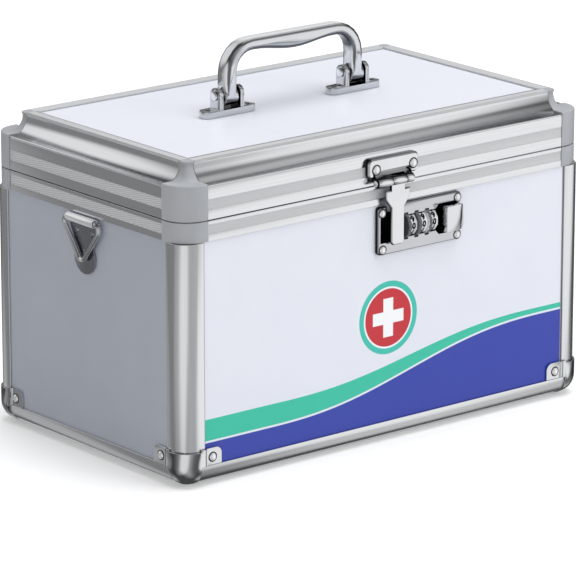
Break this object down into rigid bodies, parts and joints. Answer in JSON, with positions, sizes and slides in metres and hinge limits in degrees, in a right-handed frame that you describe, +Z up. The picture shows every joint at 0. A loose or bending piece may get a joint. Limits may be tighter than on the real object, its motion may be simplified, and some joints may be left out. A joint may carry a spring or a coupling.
{
  "type": "medication lock box",
  "caption": "Lockable aluminium-edged medicine case with a hinged cove-edged lid, folding handle, combination lock with hasp, side rings and a lift-out tray.",
  "frame": {"origin": "on the ground under the centre of the whole outline, at the foot corners' lowest plane", "axes": "+X along the front to the lock's knob side, +Y from the front to the hinges, +Z up"},
  "size_m": [0.3098, 0.1922, 0.2277],
  "materials": {
    "front_board": "white printed laminate",
    "back_board": "plain white laminate",
    "side_board": "plain silver-grey laminate",
    "bottom_board": "plain silver-grey laminate",
    "lid_board": "plain white laminate",
    "aluminium": "satin anodised",
    "post_aluminium": "satin anodised",
    "banded_aluminium": "satin, with a knurled band",
    "lid_aluminium": "satin, with a knurled band",
    "corner_moulding": "fine-grained grey moulding",
    "foot_chrome": "pressed and chromed",
    "lock_chrome": "bright chrome",
    "hasp_chrome": "bright chrome",
    "dial_metal": "chromed number band, dark toothed flange",
    "lock_black": "matt black",
    "steel": "plain steel",
    "hinge_steel": "nickel-plated sheet",
    "handle_metal": "satin chromed casting",
    "bracket_chrome": "chromed casting",
    "ring_steel": "nickel-plated sheet",
    "ring_wire": "nickel-plated wire",
    "tray_plastic": "white moulded plastic"
  },
  "bodies": {
    "case": {"panel_front": "front_board", "bottom_rail_front": "aluminium", "rim_rail_front": "banded_aluminium", "panel_right": "side_board", "bottom_rail_right": "aluminium", "rim_rail_right": "banded_aluminium", "panel_back": "back_board", "bottom_rail_back": "aluminium", "rim_rail_back": "banded_aluminium", "panel_left": "side_board", "bottom_rail_left": "aluminium", "rim_rail_left": "banded_aluminium", "panel_bottom": "bottom_board", "corner_post_front_left": "post_aluminium", "rim_corner_front_left": "corner_moulding", "foot_corner_front_left": "foot_chrome", "corner_post_front_right": "post_aluminium", "rim_corner_front_right": "corner_moulding", "foot_corner_front_right": "foot_chrome", "corner_post_back_right": "post_aluminium", "rim_corner_back_right": "corner_moulding", "foot_corner_back_right": "foot_chrome", "corner_post_back_left": "post_aluminium", "rim_corner_back_left": "corner_moulding", "foot_corner_back_left": "foot_chrome", "lock_plate": "lock_chrome", "lock_case": "lock_black", "dial_axle": "steel", "dial_spring": "steel", "hinge_leaf_body_left": "hinge_steel", "ring_plate_left": "ring_steel", "hinge_leaf_body_right": "hinge_steel", "ring_plate_right": "ring_steel"},
    "lid": {"lid_panel": "lid_board", "hasp_plate": "hasp_chrome", "hasp_pin": "steel", "lid_rail_front": "lid_aluminium", "lid_rail_right": "lid_aluminium", "lid_rail_back": "lid_aluminium", "lid_rail_left": "lid_aluminium", "lid_corner_front_left": "corner_moulding", "lid_corner_front_right": "corner_moulding", "lid_corner_back_right": "corner_moulding", "lid_corner_back_left": "corner_moulding", "handle_bracket_left": "bracket_chrome", "handle_bracket_right": "bracket_chrome", "handle_pin_left": "steel", "handle_pin_right": "steel", "hinge_leaf_lid_left": "hinge_steel", "hinge_leaf_lid_right": "hinge_steel"},
    "hasp": {"hasp": "hasp_chrome", "hasp_hook": "hasp_chrome"},
    "handle": {"handle": "handle_metal"},
    "slide": {"lock_slide": "lock_chrome"},
    "dial_left": {"dial_1": "dial_metal"},
    "dial_middle": {"dial_2": "dial_metal"},
    "dial_right": {"dial_3": "dial_metal"},
    "ring_left": {"ring_left": "ring_wire"},
    "ring_right": {"ring_right": "ring_wire"},
    "tray": {"tray": "tray_plastic"}
  },
  "joints": [
    {"name": "lid_hinge", "type": "hinge", "parent": "case", "child": "lid", "pos_m": [0, 0.09345, 0.1538], "axis": [-1, 0, 0], "range_deg": [0, 105]},
    {"name": "hasp_swing", "type": "hinge", "parent": "lid", "child": "hasp", "pos_m": [0, -0.09325, 0.1564], "axis": [-1, 0, 0], "range_deg": [0, 140]},
    {"name": "handle_swing", "type": "hinge", "parent": "lid", "child": "handle", "pos_m": [0, 0.00105, 0.1964], "axis": [1, 0, 0], "range_deg": [-88, 88]},
    {"name": "slide_travel", "type": "slide", "parent": "case", "child": "slide", "axis": [1, 0, 0], "range_m": [-0.0035, 0]},
    {"name": "dial_left_turn", "type": "hinge", "parent": "case", "child": "dial_left", "pos_m": [0.0094, -0.08665, 0.127], "axis": [1, 0, 0], "continuous": true},
    {"name": "dial_middle_turn", "type": "hinge", "parent": "case", "child": "dial_middle", "pos_m": [0.0172, -0.08665, 0.127], "axis": [1, 0, 0], "continuous": true},
    {"name": "dial_right_turn", "type": "hinge", "parent": "case", "child": "dial_right", "pos_m": [0.025, -0.08665, 0.127], "axis": [1, 0, 0], "continuous": true},
    {"name": "ring_left_swing", "type": "hinge", "parent": "case", "child": "ring_left", "pos_m": [-0.1523, 0.00105, 0.1391], "axis": [0, 1, 0], "range_deg": [0, 150]},
    {"name": "ring_right_swing", "type": "hinge", "parent": "case", "child": "ring_right", "pos_m": [0.1523, 0.00105, 0.1391], "axis": [0, -1, 0], "range_deg": [0, 150]},
    {"name": "tray_lift", "type": "slide", "parent": "case", "child": "tray", "axis": [0, 0, 1], "range_m": [0, 0.01]}
  ]
}
